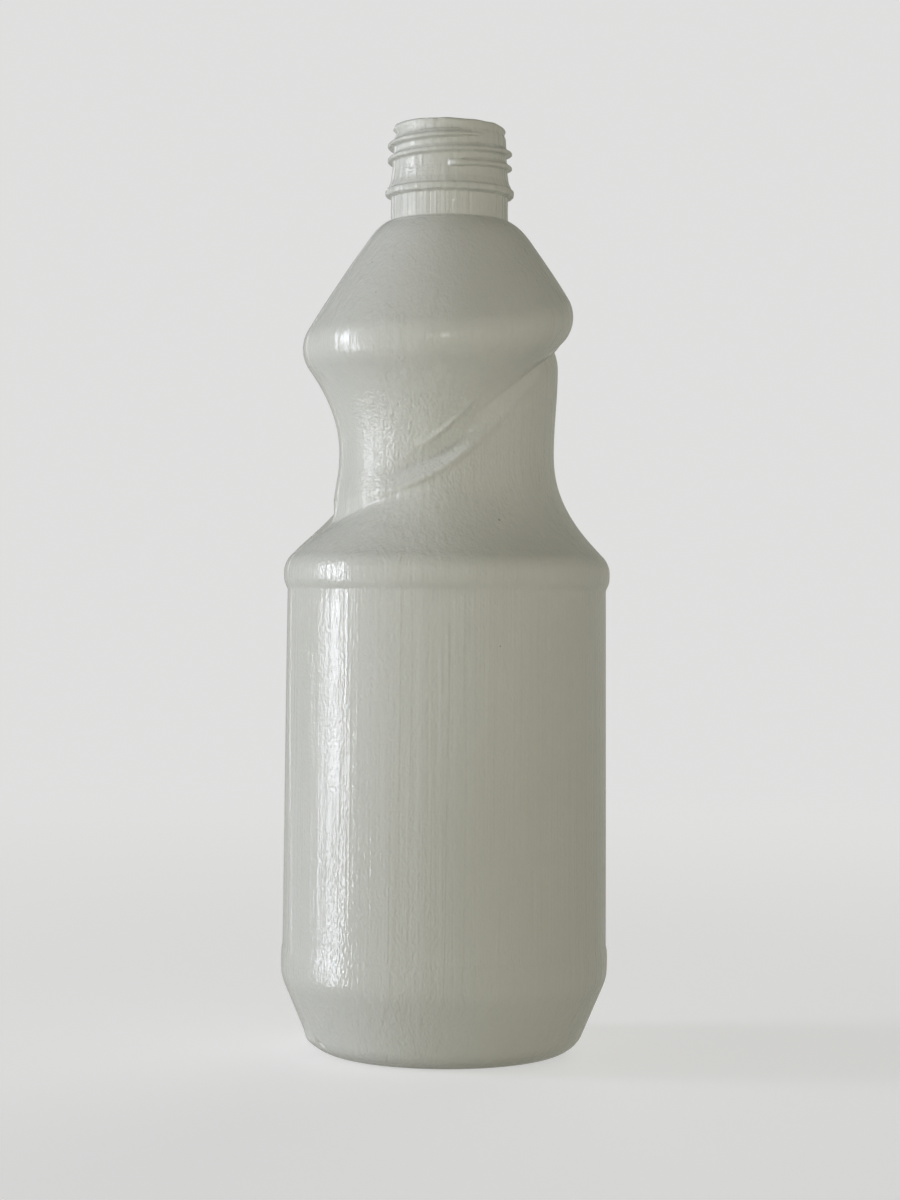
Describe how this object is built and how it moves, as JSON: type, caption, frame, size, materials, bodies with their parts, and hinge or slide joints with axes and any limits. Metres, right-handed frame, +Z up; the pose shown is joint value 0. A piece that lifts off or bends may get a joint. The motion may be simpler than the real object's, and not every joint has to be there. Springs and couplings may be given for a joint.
{
  "type": "bleach bottle",
  "caption": "Tall white blow-moulded bottle with a screw neck, cone shoulder, twisted pinched grip and a plain round body between raised beads; open, without its cap.",
  "frame": {"origin": "middle of the foot ring, on the table", "axes": "+Z up along the bottle to its mouth; the mould's parting plane is Y = 0, with the low side of the twisted grip at -X and its high side at +X"},
  "size_m": [0.0718, 0.0718, 0.203],
  "materials": {
    "bottle_plastic": "semi-gloss white polyethylene, slightly translucent, with fine die lines down it"
  },
  "bodies": {
    "root": {"bottle": "bottle_plastic"}
  },
  "joints": []
}
